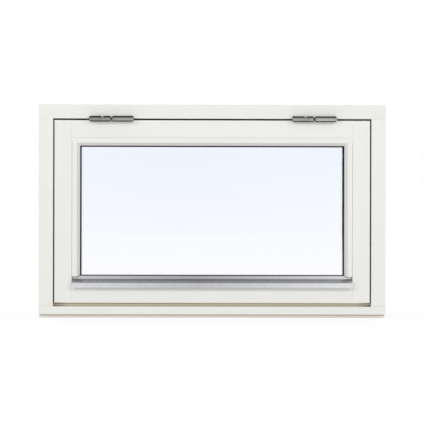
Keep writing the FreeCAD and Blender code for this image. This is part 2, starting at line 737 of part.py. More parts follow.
os.makedirs("parts", exist_ok=True)
for piece_name, piece in pieces().items():
    piece.exportStep(f"parts/{piece_name}.step")
    print(f"{piece_name}: {len(piece.Solids)} solid(s), {piece.Volume:.0f} mm3, valid {piece.isValid()}")
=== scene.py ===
"""Looks of a top hung awning window: painted timber, clear glass, plated steel and aluminium.

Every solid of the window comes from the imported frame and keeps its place. This script gives each
one its finish, adds the screws of the handle and the lips of the gasket, and sets up a plain
studio seen from straight in front. Lengths are in metres: X along the sill, Y into the room, Z up.
"""

import logging
import math
from dataclasses import dataclass
from enum import Enum
from typing import Any, Mapping, Sequence

import bmesh
import bpy
from mathutils import Matrix, Vector


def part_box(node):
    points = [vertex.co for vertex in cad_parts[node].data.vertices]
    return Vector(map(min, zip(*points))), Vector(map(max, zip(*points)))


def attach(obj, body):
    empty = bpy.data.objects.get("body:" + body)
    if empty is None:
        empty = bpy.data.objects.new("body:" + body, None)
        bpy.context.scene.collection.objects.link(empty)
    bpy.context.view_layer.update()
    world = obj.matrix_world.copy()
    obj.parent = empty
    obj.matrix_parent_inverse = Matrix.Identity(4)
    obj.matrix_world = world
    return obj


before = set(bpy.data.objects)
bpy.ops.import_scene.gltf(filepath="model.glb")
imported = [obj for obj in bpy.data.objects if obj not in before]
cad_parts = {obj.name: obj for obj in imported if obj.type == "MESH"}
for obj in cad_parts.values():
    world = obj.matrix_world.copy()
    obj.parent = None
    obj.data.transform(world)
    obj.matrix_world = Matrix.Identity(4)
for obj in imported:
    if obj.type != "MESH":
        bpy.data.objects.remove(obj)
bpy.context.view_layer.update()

LOG = logging.getLogger("awning_window")
BODY = "root"
WHITE = (1.0, 1.0, 1.0, 1.0)
OCCLUSION_SAMPLES = 8
MIX_INPUTS = (0, 6, 7)
MIX_OUTPUT = 2
SCREEN_WHITE = 255
TOE_END = 0.04045
TOE_SLOPE = 12.92
CURVE_OFFSET = 0.055
CURVE_POWER = 2.4
CROSS_ARMS = 4
QUARTER_TURN = math.pi / 2
EIGHTH_TURN = math.pi / 4

Colour = tuple[float, float, float]
Limits = tuple[float, float]
Sockets = Mapping[str | int, Any]
Outputs = Mapping[str, Any]


class Effect(Enum):
    """Shader effects that several finishes share."""

    GRAIN = "member_grain"
    MOTTLE = "fine_mottle"
    GAP = "gap_shade"
    BAND = "level_stain"
    CROWN = "crown_shade"


class Run(Enum):
    """The way a member runs: how often its grain or draw lines repeat in X, Y and Z."""

    ALONG_X = (2.0, 90.0, 90.0)
    ALONG_Z = (90.0, 90.0, 2.0)
    EVEN = (60.0, 60.0, 60.0)


class Ramp(Enum):
    """How a mapped value climbs between its two ends."""

    STRAIGHT = "LINEAR"
    SOFT = "SMOOTHSTEP"


def linear(level: int) -> float:
    """Turns one 8-bit screen value into the linear value that shaders use.

    Args:
        level: The screen value, from 0 to 255.

    Returns:
        The linear value, from 0 to 1.
    """
    share = level / SCREEN_WHITE
    if share <= TOE_END:
        return share / TOE_SLOPE
    return ((share + CURVE_OFFSET) / (1 + CURVE_OFFSET)) ** CURVE_POWER


def srgb(red: int, green: int, blue: int) -> Colour:
    """Turns a colour in 8-bit screen values into the linear colour that shaders use."""
    return linear(red), linear(green), linear(blue)


class Wires:
    """Adds nodes to a node tree and joins their sockets."""

    def __init__(self, tree: bpy.types.NodeTree) -> None:
        """Keeps the tree that the nodes go into."""
        self.tree = tree

    def feed(self, node: bpy.types.Node, sockets: Sockets) -> None:
        """Feeds inputs of a node.

        Args:
            node: The node.
            sockets: Inputs by name or number; a node socket is linked, anything else is set.
        """
        for name, value in sockets.items():
            if isinstance(value, bpy.types.NodeSocket):
                self.tree.links.new(value, node.inputs[name])
            else:
                node.inputs[name].default_value = value

    def add(self, kind: str, sockets: Sockets | None = None, **settings: Any) -> bpy.types.Node:
        """Adds a node.

        Args:
            kind: Blender's name for the node type.
            sockets: Inputs by name or number; a node socket is linked, anything else is set.
            **settings: Properties of the node itself.

        Returns:
            The new node.
        """
        node = self.tree.nodes.new(kind)
        for name, value in settings.items():
            setattr(node, name, value)
        self.feed(node, sockets or {})
        return node

    def place(self) -> bpy.types.NodeSocket:
        """Gives the place on the surface, in the window's own frame."""
        return self.add("ShaderNodeTexCoord").outputs["Object"]

    def split(self, vector: bpy.types.NodeSocket) -> Outputs:
        """Splits a vector and gives its X, Y and Z."""
        return self.add("ShaderNodeSeparateXYZ", {0: vector}).outputs

    def noise(self, place: Any, scale: Any, detail: Any) -> bpy.types.NodeSocket:
        """Gives a cloudy noise of that scale and detail."""
        sockets = {"Vector": place, "Scale": scale, "Detail": detail}
        return self.add("ShaderNodeTexNoise", sockets).outputs["Fac"]

    def openness(self, reach: Any) -> bpy.types.NodeSocket:
        """Gives how open the surface is to what lies within a reach of it."""
        node = self.add("ShaderNodeAmbientOcclusion", {"Distance": reach}, samples=OCCLUSION_SAMPLES)
        return node.outputs["AO"]

    def bump(self, height: Any, strength: float, distance: float) -> bpy.types.NodeSocket:
        """Gives the normal of a surface that rises by a height."""
        sockets = {"Height": height, "Strength": strength, "Distance": distance}
        return self.add("ShaderNodeBump", sockets).outputs["Normal"]

    def math(self, operation: str, first: Any, second: Any = 0.0) -> bpy.types.NodeSocket:
        """Gives the result of a sum, product or other operation."""
        return self.add("ShaderNodeMath", {0: first, 1: second}, operation=operation).outputs[0]

    def remap(
        self,
        value: Any,
        start: Any,
        end: Any,
        low: Any = 0.0,
        high: Any = 1.0,
        ramp: Ramp = Ramp.STRAIGHT,
    ) -> bpy.types.NodeSocket:
        """Maps a value from one range onto another and keeps it inside that.

        Args:
            value: The value.
            start: Where its range starts.
            end: Where its range ends.
            low: What it becomes at the start.
            high: What it becomes at the end.
            ramp: How it climbs between them.

        Returns:
            The mapped value.
        """
        sockets = {"Value": value, "From Min": start, "From Max": end, "To Min": low, "To Max": high}
        settings = {"clamp": True, "interpolation_type": ramp.value}
        return self.add("ShaderNodeMapRange", sockets, **settings).outputs["Result"]

    def blend(self, share: Any, first: Any, second: Any) -> bpy.types.NodeSocket:
        """Blends two colours.

        Args:
            share: Share of the second colour.
            first: The first colour.
            second: The second colour.

        Returns:
            The blended colour.
        """
        ends = [(*end, 1.0) if isinstance(end, tuple) else end for end in (first, second)]
        node = self.add("ShaderNodeMix", data_type="RGBA")
        self.feed(node, dict(zip(MIX_INPUTS, (share, *ends))))
        return node.outputs[MIX_OUTPUT]

    def effect(self, effect: Effect, sockets: Sockets) -> Outputs:
        """Places a shared effect with its own values and gives its outputs."""
        return self.add("ShaderNodeGroup", sockets, node_tree=effect_group(effect)).outputs


@dataclass(frozen=True)
class Band:
    """A level band along a member.

    It has a lowest and a highest level, fades out past each of them, stops at its half length to
    either side and at its back, and has an end length over which it turns into its end colour.
    """

    low: float
    low_fade: float
    high: float
    high_fade: float
    half_length: float = 0.357
    end_length: float = 0.03
    back: float = 0.0

    def inputs(self) -> Sockets:
        """Gives the inputs of the stain effect.

        Returns:
            The input values by name.
        """
        return {
            "Low": self.low,
            "Low Fade": self.low_fade,
            "High": self.high,
            "High Fade": self.high_fade,
            "Half Length": self.half_length,
            "End Length": self.end_length,
            "Back": self.back,
        }


@dataclass(frozen=True)
class LevelBand:
    """Painted shade in a level band along a member, with a colour of its own at the band's ends."""

    band: Band
    colour: Colour
    end_colour: Colour


# Painted shade on the sill's slope in the gap under the sash, darker at its ends where the jambs shade
# it.
BEVEL_SHADE = LevelBand(Band(0.0261, 0.0003, 0.0291, 0.0042), srgb(182, 172, 150), srgb(110, 98, 74))
# Painted shade on the rounded foot of the sash over that gap, darker at its ends.
FOOT_SHADE = LevelBand(Band(0.0300, 0.0010, 0.0336, 0.0028), srgb(228, 222, 210), srgb(148, 136, 110))
# Painted shadow of the sill's nose on the lip below it.
LIP_SHADOW = LevelBand(
    Band(0.0051, 0.0007, 0.0078, 0.0003, half_length=0.3885),
    srgb(170, 151, 140),
    srgb(170, 151, 140),
)
SLOPE_ENDS = Band(0.0800, 0.0006, 0.0880, 0.0006, half_length=0.32, end_length=0.035)


def mottle_range(scale: float, middle: float, spread: float) -> Sockets:
    """Gives the inputs of the mottle effect: its scale, and values to either side of a middle."""
    return {"Scale": scale, "Low": middle - spread, "High": middle + spread}


def gap_limits(reach: float, nook: Limits, deep: Limits = (0.06, 0.01)) -> Sockets:
    """Gives the inputs of the gap effect.

    Args:
        reach: How far away a surface still shuts a place in.
        nook: Openness where nooks start and where they are full.
        deep: Openness where deep gaps start and where they are full.

    Returns:
        The input values by name.
    """
    return {
        "Reach": reach,
        "Nook Start": nook[0],
        "Nook End": nook[1],
        "Deep Start": deep[0],
        "Deep End": deep[1],
    }


def crown_limits(limits: Limits, lean: float) -> Sockets:
    """Gives the inputs of the crown effect: how steep its edges are, and its lean to one side."""
    return {"Start": limits[0], "End": limits[1], "Lean": lean}


def effect_group(effect: Effect) -> bpy.types.NodeTree:
    """Gives the node group of a shared effect, built the first time it is asked for.

    Args:
        effect: The effect.

    Returns:
        Its node group.
    """
    made = bpy.data.node_groups.get(effect.value)
    if made is not None:
        return made
    builders = {
        Effect.GRAIN: build_grain,
        Effect.MOTTLE: build_mottle,
        Effect.GAP: build_gap,
        Effect.BAND: build_band,
        Effect.CROWN: build_crown,
    }
    return builders[effect](effect.value)


def open_group(
    name: str, inputs: Sockets, outputs: Sequence[str]
) -> tuple[Wires, Outputs, bpy.types.Node]:
    """Starts a shader node group with its sockets.

    Args:
        name: The group's name.
        inputs: Defaults by input name, a number each, or three numbers for a vector.
        outputs: Names of the value outputs.

    Returns:
        The group's wires, what its inputs are given, and the node that takes its outputs.
    """
    tree = bpy.data.node_groups.new(name, "ShaderNodeTree")
    for label, default in inputs.items():
        kind = "NodeSocketVector" if isinstance(default, tuple) else "NodeSocketFloat"
        tree.interface.new_socket(label, in_out="INPUT", socket_type=kind).default_value = default
    for label in outputs:
        tree.interface.new_socket(label, in_out="OUTPUT", socket_type="NodeSocketFloat")
    wires = Wires(tree)
    return wires, wires.add("NodeGroupInput").outputs, wires.add("NodeGroupOutput")


def build_grain(name: str) -> bpy.types.NodeTree:
    """Builds long streaks along a member: timber grain under paint, or draw lines in metal.

    Args:
        name: The group's name.

    Returns:
        The group.
    """
    streak_scale = 4.0
    drift_scale = 0.7
    drift_detail = 2.0
    inputs = {"Stretch": Run.ALONG_X.value, "Detail": 4.0}
    wires, given, out = open_group(name, inputs, ["Height", "Tone"])
    factors = {0: wires.place(), 1: given["Stretch"]}
    stretched = wires.add("ShaderNodeVectorMath", factors, operation="MULTIPLY").outputs[0]
    streaks = wires.noise(stretched, streak_scale, given["Detail"])
    wires.feed(out, {"Height": streaks, "Tone": wires.noise(stretched, drift_scale, drift_detail)})
    return wires.tree


def build_mottle(name: str) -> bpy.types.NodeTree:
    """Builds an even mottle between two values, with a finer one for the skin of a surface.

    Args:
        name: The group's name.

    Returns:
        The group.
    """
    cloud_detail = 3.0
    cloud_start = 0.3
    cloud_end = 0.7
    fine_ratio = 24.0
    fine_detail = 1.0
    wires, given, out = open_group(name, mottle_range(60.0, 0.5, 0.5), ["Value", "Fine"])
    place = wires.place()
    cloud = wires.noise(place, given["Scale"], cloud_detail)
    value = wires.remap(cloud, cloud_start, cloud_end, given["Low"], given["High"])
    fine_scale = wires.math("MULTIPLY", given["Scale"], fine_ratio)
    wires.feed(out, {"Value": value, "Fine": wires.noise(place, fine_scale, fine_detail)})
    return wires.tree


def build_gap(name: str) -> bpy.types.NodeTree:
    """Builds masks for painted shade where other surfaces shut a place in: nooks, and the deep gaps in
    them.

    Args:
        name: The group's name.

    Returns:
        The group.
    """
    masks = ("Nook", "Deep")
    wires, given, out = open_group(name, gap_limits(0.02, (0.5, 0.2)), masks)
    openness = wires.openness(given["Reach"])
    for mask in masks:
        limits = (given[f"{mask} Start"], given[f"{mask} End"])
        wires.feed(out, {mask: wires.remap(openness, *limits, ramp=Ramp.SOFT)})
    return wires.tree


def build_band(name: str) -> bpy.types.NodeTree:
    """Builds masks of a level band along a member: the whole band, and its two ends.

    Args:
        name: The group's name.

    Returns:
        The group.
    """
    end_fade = 0.001
    back_fade = 0.003
    wires, given, out = open_group(name, BEVEL_SHADE.band.inputs(), ["LevelBand", "End"])
    place = wires.split(wires.place())
    past_end = wires.math("SUBTRACT", wires.math("ABSOLUTE", place["X"]), given["Half Length"])
    fades = (
        (wires.math("SUBTRACT", given["Low"], place["Z"]), given["Low Fade"]),
        (wires.math("SUBTRACT", place["Z"], given["High"]), given["High Fade"]),
        (past_end, end_fade),
        (wires.math("SUBTRACT", place["Y"], given["Back"]), back_fade),
    )
    mask: Any = 1.0
    for outside, fade in fades:
        mask = wires.math("MULTIPLY", mask, wires.remap(outside, 0.0, fade, 1.0, 0.0))
    before_end = wires.math("MULTIPLY", given["End Length"], -1.0)
    wires.feed(out, {"LevelBand": mask, "End": wires.remap(past_end, before_end, 0.0)})
    return wires.tree


def build_crown(name: str) -> bpy.types.NodeTree:
    """Builds a mask of the crown and the underside of turned bars, for a dark painted reflection on the
    crown and painted shade underneath.

    Args:
        name: The group's name.

    Returns:
        The group.
    """
    wires, given, out = open_group(name, crown_limits((0.42, 0.72), 0.1), ["Crown"])
    upward = wires.split(wires.add("ShaderNodeNewGeometry").outputs["Normal"])["Z"]
    leaning = wires.math("ABSOLUTE", wires.math("ADD", upward, given["Lean"]))
    wires.feed(out, {"Crown": wires.remap(leaning, given["Start"], given["End"], ramp=Ramp.SOFT)})
    return wires.tree


def blank_material(name: str) -> tuple[bpy.types.Material, Wires]:
    """Starts a material with no nodes.

    Args:
        name: The material's name.

    Returns:
        The material and its wires.
    """
    material = bpy.data.materials.new(name)
    material.use_nodes = True
    material.node_tree.nodes.clear()
    return material, Wires(material.node_tree)


def new_material(name: str) -> tuple[bpy.types.Material, Wires, bpy.types.Node]:
    """Starts a material with one Principled shader.

    Args:
        name: The material's name.

    Returns:
        The material, its wires and its Principled node.
    """
    material, wires = blank_material(name)
    shader = wires.add("ShaderNodeBsdfPrincipled")
    wires.add("ShaderNodeOutputMaterial", {"Surface": shader.outputs["BSDF"]})
    return material, wires, shader


@dataclass(frozen=True)
class PaintFinish:
    """Opaque satin paint on planed timber, with a trace of the grain under it and painted shade in its
    nooks and gaps.
    """

    name: str
    run: Run
    colour: Colour = srgb(236, 236, 232)
    shade: Colour = srgb(228, 227, 221)
    # Painted shade: a tint for nooks and a darker one for deep gaps.
    nook: Colour = srgb(228, 212, 180)
    deep: Colour = srgb(62, 42, 8)
    # Level bands of painted shade and painted shadow.
    shade_bands: tuple[LevelBand, ...] = ()
    gap_reach: float = 0.03
    nook_limits: Limits = (0.3, 0.1)
    deep_limits: Limits = (0.16, 0.04)
    roughness: float = 0.42
    spread: float = 0.05
    patch_scale: float = 30.0
    grain_detail: float = 5.0
    tone_limits: Limits = (0.35, 0.75)
    tone_share: float = 0.35
    skin_share: float = 0.6
    skin_strength: float = 0.25
    skin_height: float = 0.00004

    def material(self) -> bpy.types.Material:
        """Builds the paint.

        Returns:
            Its material.
        """
        material, wires, shader = new_material(self.name)
        grain = wires.effect(Effect.GRAIN, {"Stretch": self.run.value, "Detail": self.grain_detail})
        mottle = wires.effect(
            Effect.MOTTLE, mottle_range(self.patch_scale, self.roughness, self.spread)
        )
        gap = wires.effect(
            Effect.GAP, gap_limits(self.gap_reach, self.nook_limits, self.deep_limits)
        )
        tone = wires.remap(grain["Tone"], *self.tone_limits, 0.0, self.tone_share)
        colour = wires.blend(tone, self.colour, self.shade)
        # Painted shade in nooks, from how shut in the surface is.
        colour = wires.blend(gap["Nook"], colour, self.nook)
        # Painted shade and painted shadow in level bands.
        for shade_band in self.shade_bands:
            masks = wires.effect(Effect.BAND, shade_band.band.inputs())
            tint = wires.blend(masks["End"], shade_band.colour, shade_band.end_colour)
            colour = wires.blend(masks["LevelBand"], colour, tint)
        # Painted shade in deep gaps.
        colour = wires.blend(gap["Deep"], colour, self.deep)
        skin = wires.math("MULTIPLY", mottle["Fine"], self.skin_share)
        height = wires.math("ADD", grain["Height"], skin)
        normal = wires.bump(height, self.skin_strength, self.skin_height)
        wires.feed(
            shader, {"Base Color": colour, "Roughness": mottle["Value"], "Normal": normal}
        )
        return material


@dataclass(frozen=True)
class MetalFinish:
    """Bare, drawn or plated metal with fine lines along its run and dull patches.

    It has painted shade in its nooks, can have a painted dark reflection towards a middle, be dull at
    the ends of a band, and have a dark painted reflection along its crown and painted shade under it.
    """

    name: str
    run: Run
    colour: Colour
    dull: Colour
    roughness: float
    spread: float = 0.08
    patch_scale: float = 120.0
    dull_share: float = 0.7
    gap_reach: float = 0.015
    # Painted shade in nooks; the crown's dark painted reflection uses the same colour.
    painted_shade: Colour = srgb(70, 66, 58)
    painted_shade_share: float = 1.0
    painted_shade_limits: Limits = (0.62, 0.3)
    # Painted dark reflection towards a middle of the member.
    dark_reflection: Colour = srgb(110, 112, 110)
    dark_reflection_share: float = 0.0
    dark_reflection_middle: float = -0.04
    dark_reflection_half: float = 0.33
    dull_ends: Band | None = None
    end_dulling: float = 0.6
    crown_share: float = 0.0
    crown_edges: Limits = (0.42, 0.72)
    crown_lean: float = 0.1
    line_detail: float = 6.0
    line_strength: float = 0.3
    line_height: float = 0.00003

    def material(self) -> bpy.types.Material:
        """Builds the metal.

        Returns:
            Its material.
        """
        material, wires, shader = new_material(self.name)
        lines = wires.effect(Effect.GRAIN, {"Stretch": self.run.value, "Detail": self.line_detail})
        mottle = wires.effect(
            Effect.MOTTLE, mottle_range(self.patch_scale, self.roughness, self.spread)
        )
        gloss = mottle["Value"]
        gap = wires.effect(Effect.GAP, gap_limits(self.gap_reach, self.painted_shade_limits))
        patch = wires.remap(gloss, self.roughness, self.roughness + self.spread, 0.0, self.dull_share)
        colour = wires.blend(patch, self.colour, self.dull)
        # Painted shade in nooks.
        painted_shade = wires.math("MULTIPLY", gap["Nook"], self.painted_shade_share)
        colour = wires.blend(painted_shade, colour, self.painted_shade)
        # Painted dark reflection towards the middle.
        if self.dark_reflection_share > 0:
            along = wires.split(wires.place())["X"]
            aside = wires.math("ABSOLUTE", wires.math("SUBTRACT", along, self.dark_reflection_middle))
            share = wires.remap(aside, 0.0, self.dark_reflection_half, self.dark_reflection_share, 0.0)
            colour = wires.blend(share, colour, self.dark_reflection)
        if self.dull_ends is not None:
            masks = wires.effect(Effect.BAND, self.dull_ends.inputs())
            near_end = wires.math("MULTIPLY", masks["LevelBand"], masks["End"])
            gloss = wires.math("ADD", gloss, wires.math("MULTIPLY", near_end, self.end_dulling))
        # Dark painted reflection along the crown and painted shade along the underside.
        if self.crown_share > 0:
            limits = crown_limits(self.crown_edges, self.crown_lean)
            crown = wires.effect(Effect.CROWN, limits)["Crown"]
            share = wires.math("MULTIPLY", crown, self.crown_share)
            colour = wires.blend(share, colour, self.painted_shade)
        normal = wires.bump(lines["Height"], self.line_strength, self.line_height)
        wires.feed(
            shader, {"Base Color": colour, "Metallic": 1.0, "Roughness": gloss, "Normal": normal}
        )
        return material


@dataclass(frozen=True)
class RubberFinish:
    """Dull rubber or plastic with a faint bloom."""

    name: str
    colour: Colour
    bloom: Colour
    roughness: float = 0.65
    spread: float = 0.05
    patch_scale: float = 40.0
    bloom_share: float = 0.5
    specular: float = 0.15
    skin_strength: float = 0.2
    skin_height: float = 0.00003

    def material(self) -> bpy.types.Material:
        """Builds the rubber.

        Returns:
            Its material.
        """
        material, wires, shader = new_material(self.name)
        mottle = wires.effect(
            Effect.MOTTLE, mottle_range(self.patch_scale, self.roughness, self.spread)
        )
        gloss = mottle["Value"]
        share = wires.remap(gloss, self.roughness, self.roughness + self.spread, 0.0, self.bloom_share)
        sockets = {
            "Base Color": wires.blend(share, self.colour, self.bloom),
            "Roughness": gloss,
            "Specular IOR Level": self.specular,
            "Normal": wires.bump(mottle["Fine"], self.skin_strength, self.skin_height),
        }
        wires.feed(shader, sockets)
        return material


@dataclass(frozen=True)
class GlassFinish:
    """Clear float glass with a painted reflection of a pale blue sky that grows towards the top."""

    name: str
    low: float
    high: float
    clear: Colour = (0.985, 0.985, 0.995)
    # Painted reflection of the sky, pale blue towards the top.
    sky_reflection: Colour = (0.93, 0.96, 1.0)
    bending: float = 1.5

    def material(self) -> bpy.types.Material:
        """Builds the glass.

        Returns:
            Its material.
        """
        material, wires, shader = new_material(self.name)
        # Painted sky reflection: blends towards the blue with height.
        share = wires.remap(wires.split(wires.place())["Z"], self.low, self.high)
        sockets = {
            "Base Color": wires.blend(share, self.clear, self.sky_reflection),
            "Roughness": 0.0,
            "IOR": self.bending,
            "Transmission Weight": 1.0,
        }
        wires.feed(shader, sockets)
        return material


def link(name: str, data: bpy.types.ID) -> bpy.types.Object:
    """Adds an object to the scene.

    Args:
        name: The object's name.
        data: Its mesh, lamp or camera.

    Returns:
        The object.
    """
    made = bpy.data.objects.new(name, data)
    bpy.context.scene.collection.objects.link(made)
    return made


def to_mesh(name: str, shape: bmesh.types.BMesh, material: bpy.types.Material) -> bpy.types.Mesh:
    """Turns a shape, which is used up, into a mesh.

    Args:
        name: The mesh's name.
        shape: The shape.
        material: Its finish.

    Returns:
        The mesh.
    """
    mesh = bpy.data.meshes.new(name)
    shape.to_mesh(mesh)
    shape.free()
    mesh.materials.append(material)
    return mesh


def stitch(shape: bmesh.types.BMesh, rings: Sequence[Sequence[bmesh.types.BMVert]]) -> None:
    """Joins each ring of points to the next with a band of faces.

    Args:
        shape: The mesh that the points are in.
        rings: The rings, with the same number of points each.
    """
    for lower, upper in zip(rings, rings[1:]):
        for i, point in enumerate(lower):
            after = (i + 1) % len(lower)
            shape.faces.new((point, lower[after], upper[after], upper[i]))


def place_piece(
    name: str, shape: bmesh.types.BMesh, material: bpy.types.Material
) -> None:
    """Makes a new piece of the window from its shape, which is used up.

    Args:
        name: The piece's name.
        shape: Its mesh, in the window's own frame.
        material: Its finish.
    """
    piece = link(name, to_mesh(name, shape, material))
    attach(piece, BODY)
    LOG.info("%s added, in %s", name, material.name)


def dress(node: str, material: bpy.types.Material) -> None:
    """Gives a solid of the frame its finish.

    Args:
        node: The solid's name.
        material: The finish.
    """
    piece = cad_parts[node]
    for place in piece.material_slots:
        place.material = material
    LOG.info("%s wears %s", node, material.name)


@dataclass
class OuterFrame:
    """Head, jambs and sill, with the seal that the sash closes on."""

    head: str = "frame_head"
    sill: str = "frame_sill"
    jambs: tuple[str, ...] = ("frame_jamb_left", "frame_jamb_right")
    seal: str = "weather_seal"

    def dress(self) -> None:
        """Paints the timber with painted shade in its gaps, pale to the back of the sill's slope, adds
        painted shade on that slope and a painted shadow of the nose on the lip, and colours the seal.
        """
        dress(self.head, PaintFinish("head_paint", Run.ALONG_X).material())
        jamb_paint = PaintFinish("jamb_paint", Run.ALONG_Z).material()
        for node in self.jambs:
            dress(node, jamb_paint)
        # The sill's gap tints are near white; its bands add painted shade on the slope and a painted
        # shadow on the lip.
        sill_paint = PaintFinish(
            "sill_paint",
            Run.ALONG_X,
            nook=srgb(235, 234, 230),
            deep=srgb(236, 228, 210),
            nook_limits=(0.34, 0.14),
            deep_limits=(0.25, 0.1),
            shade_bands=(BEVEL_SHADE, LIP_SHADOW),
        )
        dress(self.sill, sill_paint.material())
        rubber = RubberFinish("seal_rubber", colour=srgb(44, 33, 14), bloom=srgb(62, 50, 28))
        dress(self.seal, rubber.material())


@dataclass
class Sash:
    """Stiles, rails and glazing beads."""

    rails: tuple[str, ...] = ("sash_top_rail", "sash_bottom_rail")
    stiles: tuple[str, ...] = ("sash_stile_left", "sash_stile_right")
    top_beads: tuple[str, ...] = ("glazing_bead_top",)
    side_beads: tuple[str, ...] = ("glazing_bead_left", "glazing_bead_right")
    deep_limits: Limits = (0.25, 0.1)

    def dress(self) -> None:
        """Paints the timber, with a warm painted shade in the gap around the sash and a near-white one
        under the beads.
        """
        # Painted shade: warm in the gap around the sash and on its foot, near white under the beads.
        timber = {"deep": srgb(230, 208, 156), "shade_bands": (FOOT_SHADE,)}
        bead = {"nook": srgb(232, 231, 226), "deep": srgb(234, 232, 226)}
        coats = (
            ("sash_paint_level", self.rails, Run.ALONG_X, timber),
            ("sash_paint_upright", self.stiles, Run.ALONG_Z, timber),
            ("bead_paint_level", self.top_beads, Run.ALONG_X, bead),
            ("bead_paint_upright", self.side_beads, Run.ALONG_Z, bead),
        )
        for name, nodes, run, looks in coats:
            paint = PaintFinish(name, run, deep_limits=self.deep_limits, **looks).material()
            for node in nodes:
                dress(node, paint)


@dataclass(frozen=True)
class Lip:
    """The soft lip of the gasket along one side.

    It has a reach over the glass, and shares of its height at which it has none of that reach and
    all of it. Two waves ripple its edge, a long one and a weaker short one.
    """

    name: str
    side: int
    reach: float
    none_at: float
    full_at: float
    ripple: float = 0.00008
    long_wave: float = 0.047
    short_wave: float = 0.019
    short_share: float = 0.6

    def reach_at(self, share: float, height: float) -> float:
        """How far the lip reaches over the glass at one height.

        Args:
            share: Share of the lip's length below that height.
            height: The height itself.

        Returns:
            The reach.
        """
        grown = min(1.0, max(0.0, (share - self.none_at) / (self.full_at - self.none_at)))
        long_part = math.sin(math.tau * height / self.long_wave)
        short_part = math.sin(math.tau * height / self.short_wave)
        waves = long_part + self.short_share * short_part
        return max(0.0, self.reach * grown + self.ripple * waves * grown)


@dataclass
class Glazing:
    """The sealed unit, its gaskets with their lips, and the drip profile below it."""

    panes: tuple[str, ...] = ("glass_outer_pane", "glass_inner_pane")
    gasket: str = "glazing_gasket"
    tape: str = "glazing_tape"
    spacer: str = "glass_spacer"
    drip: str = "drip_profile"
    gasket_width: float = 0.011
    lips: tuple[Lip, ...] = (
        Lip("left", -1, reach=0.00012, none_at=0.6, full_at=0.2),
        Lip("right", 1, reach=0.00095, none_at=0.12, full_at=0.32),
    )
    lip_slot: str = "seal_rubber"
    lip_root: float = 0.0003
    lip_thickness: float = 0.0008
    lip_edge: float = 0.0003
    lip_step: float = 0.004

    def dress(self) -> None:
        """Clears the glass and colours what holds it."""
        low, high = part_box(self.panes[0])
        glass = GlassFinish("pane_glass", low.z, high.z).material()
        for node in self.panes:
            dress(node, glass)
        rubber = RubberFinish("gasket_rubber", colour=srgb(7, 7, 8), bloom=srgb(13, 13, 14)).material()
        for node in (self.gasket, self.tape):
            dress(node, rubber)
        for lip in self.lips:
            place_piece(f"gasket_lip_{lip.name}", self.shape_lip(lip), rubber)
        plastic = RubberFinish(
            "spacer_plastic", colour=srgb(26, 26, 28), bloom=srgb(34, 34, 36), roughness=0.5
        )
        dress(self.spacer, plastic.material())
        # The drip has a painted dark reflection towards its middle and a little painted shade in its
        # nooks.
        aluminium = MetalFinish(
            "drip_aluminium",
            Run.ALONG_X,
            colour=srgb(227, 228, 230),
            dull=srgb(221, 222, 225),
            roughness=0.2,
            spread=0.03,
            painted_shade_share=0.15,
            dark_reflection_share=0.34,
            dull_ends=SLOPE_ENDS,
            line_height=0.000006,
        )
        dress(self.drip, aluminium.material())

    def shape_lip(self, lip: Lip) -> bmesh.types.BMesh:
        """Shapes one lip of the gasket, which lies on the outer pane.

        Args:
            lip: Which lip, and how far it reaches.

        Returns:
            The shape.
        """
        low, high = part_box(self.gasket)
        inner = (high.x if lip.side > 0 else low.x) - lip.side * self.gasket_width
        root = inner + lip.side * self.lip_root
        bottom = low.z + self.gasket_width
        length = high.z - self.gasket_width - bottom
        steps = round(length / self.lip_step)
        shape = bmesh.new()
        rings = []
        for step in range(steps + 1):
            share = step / steps
            height = bottom + share * length
            edge = inner - lip.side * lip.reach_at(share, height)
            section = (
                (root, high.y),
                (root, high.y - self.lip_thickness),
                (edge, high.y - self.lip_edge),
                (edge, high.y),
            )
            rings.append([shape.verts.new((x, y, height)) for x, y in section])
        stitch(shape, rings)
        shape.faces.new(rings[0])
        shape.faces.new(rings[-1])
        bmesh.ops.recalc_face_normals(shape, faces=shape.faces)
        return shape


@dataclass
class Hinges:
    """Two barrel hinges, each with a frame half, a sash half and a pin.

    Each side has a tone of grey for its frame half and one for its sash half; the right side's are
    lighter as painted light from the right. The dull patches of both are darker by the fade. The tint
    shifts red, green and blue.
    """

    # The right hinge's lighter greys are painted light from the right.
    tones: tuple[tuple[str, int, int], ...] = (("left", 154, 166), ("right", 172, 186))
    fade: int = 32
    tint: tuple[int, int, int] = (-1, 2, 0)

    def grey(self, tone: int) -> Colour:
        """Gives the tinted grey of that tone."""
        return srgb(*(tone + shift for shift in self.tint))

    def zinc(self, name: str, tone: int) -> bpy.types.Material:
        """Plates one half in zinc, dull in patches, with painted shade in its nooks and underside and a
        dark painted reflection along its crown.

        Args:
            name: The material's name.
            tone: The tone of its grey.

        Returns:
            The material.
        """
        plating = MetalFinish(
            name,
            Run.ALONG_X,
            colour=self.grey(tone),
            dull=self.grey(tone - self.fade),
            roughness=0.34,
            # Painted shade in nooks and under the barrel, and a dark painted reflection on its crown.
            painted_shade=srgb(46, 41, 33),
            painted_shade_share=0.85,
            painted_shade_limits=(0.97, 0.7),
            crown_share=0.95,
        )
        return plating.material()

    def dress(self) -> None:
        """Plates the halves and leaves the pins plain."""
        steel = MetalFinish(
            "pin_steel", Run.EVEN, colour=srgb(90, 90, 88), dull=srgb(70, 70, 68), roughness=0.4
        ).material()
        for side, frame_tone, sash_tone in self.tones:
            dress(f"hinge_{side}_frame_leaf", self.zinc(f"zinc_{side}_frame", frame_tone))
            dress(f"hinge_{side}_sash_leaf", self.zinc(f"zinc_{side}_sash", sash_tone))
            dress(f"hinge_{side}_pin", steel)


@dataclass(frozen=True)
class Screw:
    """A screw of the handle: its name, its side, and the turn of its recess in degrees."""

    name: str
    side: int
    turn: float


